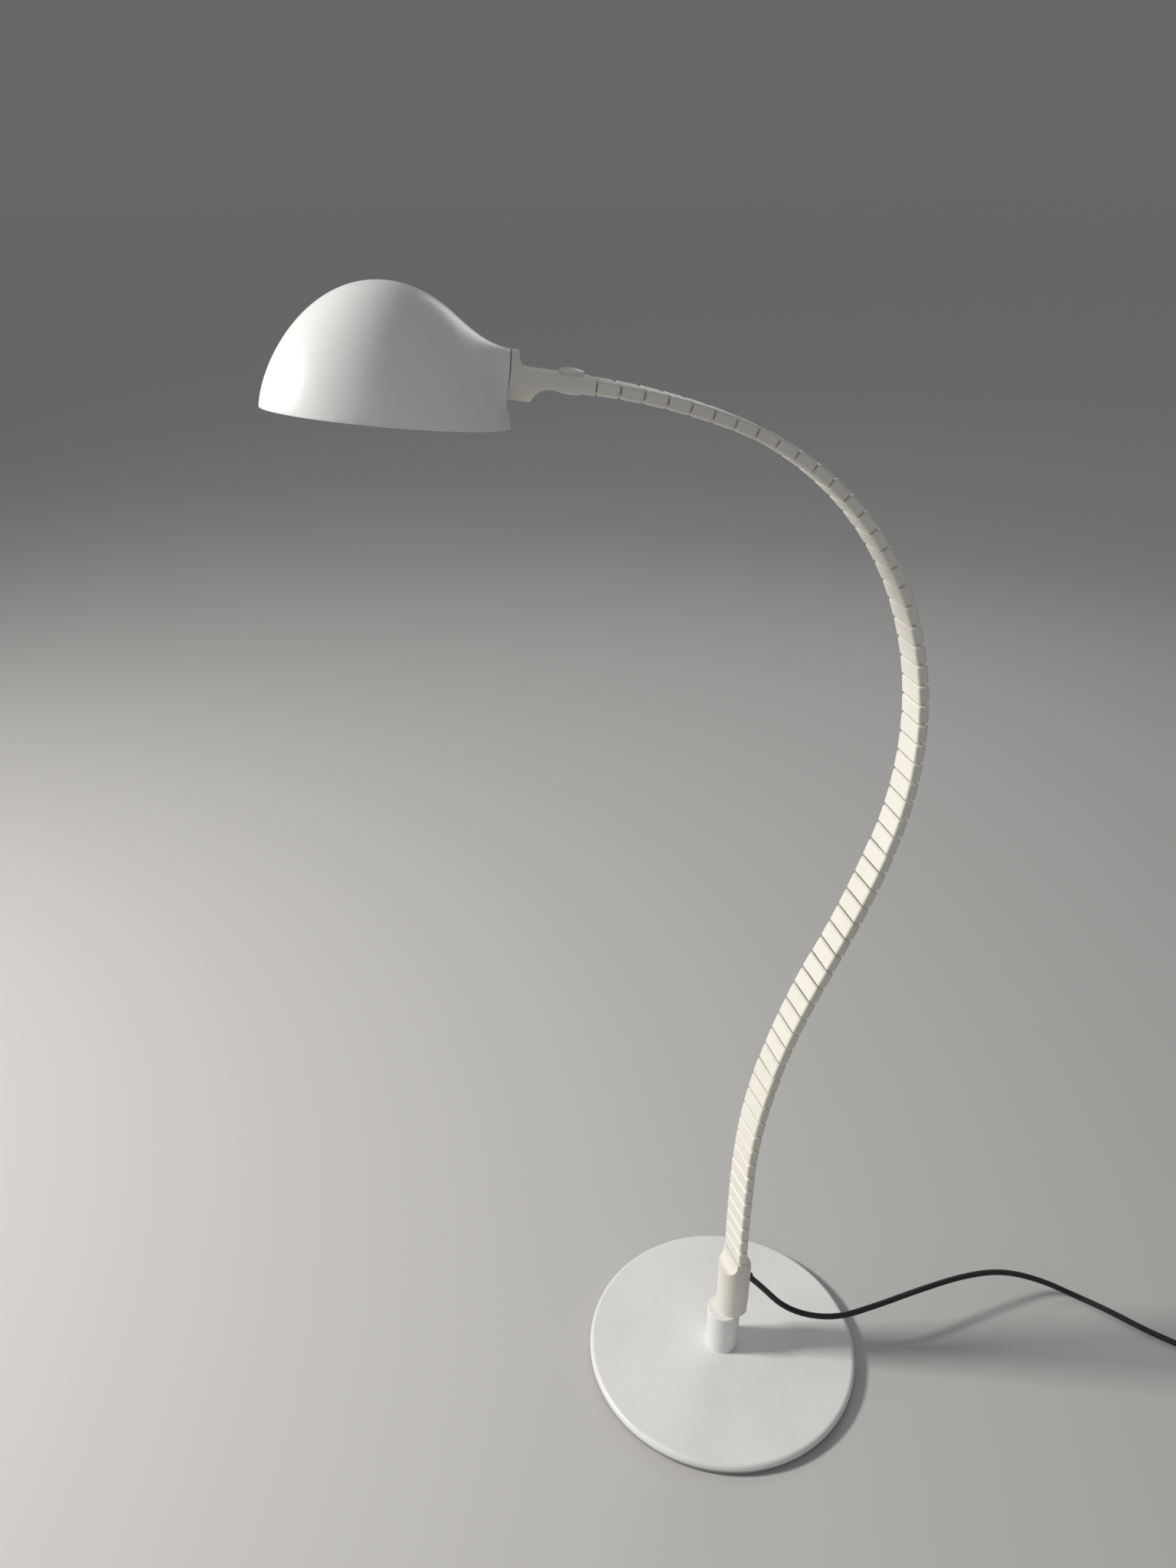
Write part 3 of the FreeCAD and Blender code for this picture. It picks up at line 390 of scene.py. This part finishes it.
sleeve = Paint("sleeve_rubber", Roughness=0.62)
skin = sleeve.noise(1300, 2)
sleeve.feed(Base_Color=sleeve.blend(skin, (0.010, 0.010, 0.010), (0.028, 0.028, 0.028)))
sleeve.bumps((skin, 0.00005)).on("cord_sleeve")

# ------------------------------------------------------------------ segmented neck
# Flat sleeves threaded on a spring strip.  Each has rounded corners and bevelled ends
# that catch the light, so the neck reads as fine bright lines across cream faces.
links = [name for name in sorted(nodes) if name.startswith("neck_links_")]
link_cream = moulded("link_cream", (0.80, 0.775, 0.705), (0.755, 0.725, 0.65), 0.36,
                     (30, 30, 8))
link_cream.on(*links)

spring = Paint("core_spring_steel", Metallic=1.0)
drawn = spring.noise(60, 3, where=spring.stretched(40, 1, 1))
spring.feed(Base_Color=spring.blend(drawn, (0.20, 0.20, 0.21), (0.36, 0.36, 0.37)),
            Roughness=drawn * 0.2 + 0.3)
spring.bumps((drawn, 0.00004))
spring.on("core_anchor_lower", "core_anchor_upper",
          *[name for name in nodes if name.startswith("neck_core_")])

# ------------------------------------------------------------------ switch
# A round press switch through the flat of the upper connector: a domed button above, a
# flatter cap below, both a shade glossier than the moulding round them.
gloss = moulded("switch_gloss", (0.81, 0.78, 0.71), (0.76, 0.73, 0.66), 0.26)
gloss.on("switch_button", "switch_cap_lower")
block = Paint("switch_block", Base_Color=(0.02, 0.02, 0.02, 1))
speck = block.noise(800, 2)
block.feed(Roughness=speck * 0.2 + 0.4)
block.bumps((speck, 0.00004)).on("switch_body")

# ------------------------------------------------------------------ shade
# A pressed helmet of thin steel: half an egg, open below and widest at its rim, with a
# round stub that grows out of its back in a soft hollow.  The picture shows it too dark to
# tell its colour, and the white lacquer of the base is assumed.
# The helmet's place and lean, and the stub's face, are measured from the neck's last hinge.
HELMET_PLACE = (0.1223, 0, -0.0342)
HELMET_LEAN, HELMET_TIP = math.radians(2.3), math.radians(2.5)
STUB_FACE = 0.0536
joints = {joint["name"]: joint for joint in frame["joints"]}
axis = Vector(joints["shade_turn"]["axis"]).normalized()
near = -Vector(joints["neck_bend_10"]["axis"]).normalized()
upper = near.cross(axis) if near.cross(axis).z > 0 else axis.cross(near)
head = Matrix((axis, upper.cross(axis), upper)).transposed().to_4x4()
head.translation = Vector(joints["neck_bend_10"]["pos_m"])
helmet = head @ Matrix.Translation(HELMET_PLACE)
helmet = helmet @ Matrix.Rotation(HELMET_LEAN, 4, "X")
helmet = helmet @ Matrix.Rotation(HELMET_TIP, 4, "Y")
inward = helmet.inverted() @ head
stub_axis = np.array(inward.to_3x3() @ Vector((1, 0, 0)))
stub_end = np.array(inward @ Vector((STUB_FACE, 0, 0)))

# Half the dome's outline is a Bezier curve from the rim up to the crown.  The dome is that
# outline turned about its height, squeezed to its width and sheared a little forwards.
RIM, CROWN, WIDE, SHEAR = 0.0748, 0.0760, 0.0638, 0.038
RIM_HANDLE_X, RIM_HANDLE_Z, CROWN_HANDLE_X = 0.0728, 0.0262, 0.0448
t = np.linspace(0, 1, 400)
outline_x = ((1 - t) ** 3 * RIM + 3 * t * (1 - t) ** 2 * RIM_HANDLE_X
             + 3 * t ** 2 * (1 - t) * CROWN_HANDLE_X)
outline_z = (3 * t * (1 - t) ** 2 * RIM_HANDLE_Z + 3 * t ** 2 * (1 - t) * CROWN
             + t ** 3 * CROWN)
elevations = np.arctan2(outline_z, outline_x)
reaches = np.hypot(outline_x, outline_z)

# The stub melts into the dome over MELT.  Behind its face, a cylinder of CLEAR_RADIUS is
# kept free for the washer.  Below the rim the dome goes on upright as far as LOWEST, an
# elevation in radians, and is cut off later.
STUB_RADIUS, STUB_RUN, CLEAR_RADIUS, MELT, LOWEST = 0.0146, 0.034, 0.0149, 0.016, -0.6


def shell_distance(p, melt=MELT):
    """Below 0 inside the dome, the stub, or the hollow fillet that joins them."""
    flat = np.hypot(p[..., 0] - SHEAR * p[..., 2], p[..., 1] * RIM / WIDE)
    elevation = np.arctan2(p[..., 2], flat)
    below = RIM / np.cos(np.clip(elevation, LOWEST, 0))
    dome = np.hypot(flat, p[..., 2]) - np.where(
        elevation < 0, below, np.interp(elevation, elevations, reaches))
    along = (p - stub_end) @ stub_axis
    out = np.linalg.norm(p - stub_end - along[..., None] * stub_axis, axis=-1)
    stub = np.maximum(out - STUB_RADIUS, along - STUB_RUN)
    share = np.clip(0.5 + 0.5 * (stub - dome) / melt, 0, 1)
    joined = stub * (1 - share) + dome * share - melt * share * (1 - share)
    joined = np.where(along < 0, dome, joined)
    return np.maximum(joined, -np.maximum(out - CLEAR_RADIUS, along))


# The skin is found along rays from a point inside the dome, in rings about the stub's axis,
# by halving between two reaches.  The rings lie closest at the edge of the stub's face.
SEAT_RUN, SEGMENTS, HALVINGS = 0.064, 192, 34
LEAST_REACH, MOST_REACH = 0.01, 0.16
seat = stub_end + stub_axis * SEAT_RUN
side_axis = np.cross([0, 0, 1.0], stub_axis)
side_axis /= np.linalg.norm(side_axis)
top_axis = np.cross(stub_axis, side_axis)
tilt = np.radians(np.concatenate([np.linspace(1.5, 11.5, 5), np.linspace(12.0, 15.5, 15),
                                  np.linspace(16.2, 60, 60), np.linspace(61, 178.5, 75)]))
swing = np.linspace(0, 2 * math.pi, SEGMENTS + 1)[:-1]
tilts, swings = np.meshgrid(tilt, swing, indexing="ij")
rays = (-np.cos(tilts)[..., None] * stub_axis + np.sin(tilts)[..., None]
        * (np.cos(swings)[..., None] * top_axis + np.sin(swings)[..., None] * side_axis))
low = np.full(tilts.shape, LEAST_REACH)
high = np.full(tilts.shape, MOST_REACH)
for _ in range(HALVINGS):
    middle = (low + high) / 2
    outside = shell_distance(seat + rays * middle[..., None]) > 0
    high = np.where(outside, middle, high)
    low = np.where(outside, low, middle)
rows, columns = tilts.shape
verts = list((seat + rays * low[..., None]).reshape(-1, 3))
verts += [stub_end, seat + stub_axis * float(low[-1].mean())]
faces = []
for j in range(columns):
    k = (j + 1) % columns
    faces += [(i * columns + j, i * columns + k, (i + 1) * columns + k, (i + 1) * columns + j)
              for i in range(rows - 1)]
    faces.append((len(verts) - 2, k, j))
    faces.append((len(verts) - 1, (rows - 1) * columns + j, (rows - 1) * columns + k))
shade = mesh_piece("shade_shell", verts, faces)
work = bmesh.new()
work.from_mesh(shade.data)
bmesh.ops.bisect_plane(work, geom=work.verts[:] + work.edges[:] + work.faces[:],
                       plane_co=(0, 0, 0), plane_no=(0, 0, 1), clear_inner=True)
bmesh.ops.recalc_face_normals(work, faces=work.faces)
work.to_mesh(shade.data)
work.free()
shade.data.transform(helmet)
centre = helmet @ Vector((0, 0, 0.03))
outward = sum((poly.center - centre).dot(poly.normal) for poly in shade.data.polygons)
if outward < 0:
    shade.data.flip_normals()
wall = shade.modifiers.new("wall", "SOLIDIFY")
wall.thickness = 0.0013
wall.offset = -1
wall.use_even_offset = True
edge = shade.modifiers.new("rim_edge", "BEVEL")
edge.width = 0.00045
edge.segments = 2
edge.limit_method = "ANGLE"
edge.angle_limit = math.radians(50)
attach(shade, "shade_unit")
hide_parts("shade")
lacquer("shade_lacquer", (0.84, 0.84, 0.835), (0.79, 0.785, 0.775), 0.30).on(shade)

gasket = Paint("washer_rubber", Roughness=0.7)
skin = gasket.noise(900, 2)
gasket.feed(Base_Color=gasket.blend(skin, (0.012, 0.012, 0.012), (0.03, 0.03, 0.03)))
gasket.bumps((skin, 0.00004)).on("shade_washer")

# ------------------------------------------------------------------ lamp in the shade
# A white holder with its ring on the spindle, and an opal globe with a nickelled cap.
porcelain = Paint("holder_moulding", Roughness=0.35)
glaze = porcelain.noise(120, 2)
porcelain.feed(Base_Color=porcelain.blend(glaze, (0.74, 0.73, 0.70), (0.82, 0.81, 0.79)))
porcelain.bumps((glaze, 0.00004)).on("lampholder", "holder_ring")

cap = Paint("cap_nickel", Metallic=1.0)
thread = cap.noise(300, 2)
cap.feed(Base_Color=cap.blend(thread, (0.55, 0.52, 0.46), (0.74, 0.72, 0.68)),
         Roughness=thread * 0.2 + 0.22)
cap.on("bulb_cap")

opal = Paint("bulb_opal", Subsurface_Weight=0.3, Emission_Strength=1.6, Roughness=0.12)
milk = opal.noise(40, 2)
opal.feed(Base_Color=opal.blend(milk, (0.90, 0.89, 0.86), (0.95, 0.95, 0.93)),
          Emission_Color=opal.blend(milk, (1.0, 0.90, 0.76), (1.0, 0.94, 0.84)))
opal.on("bulb_glass")
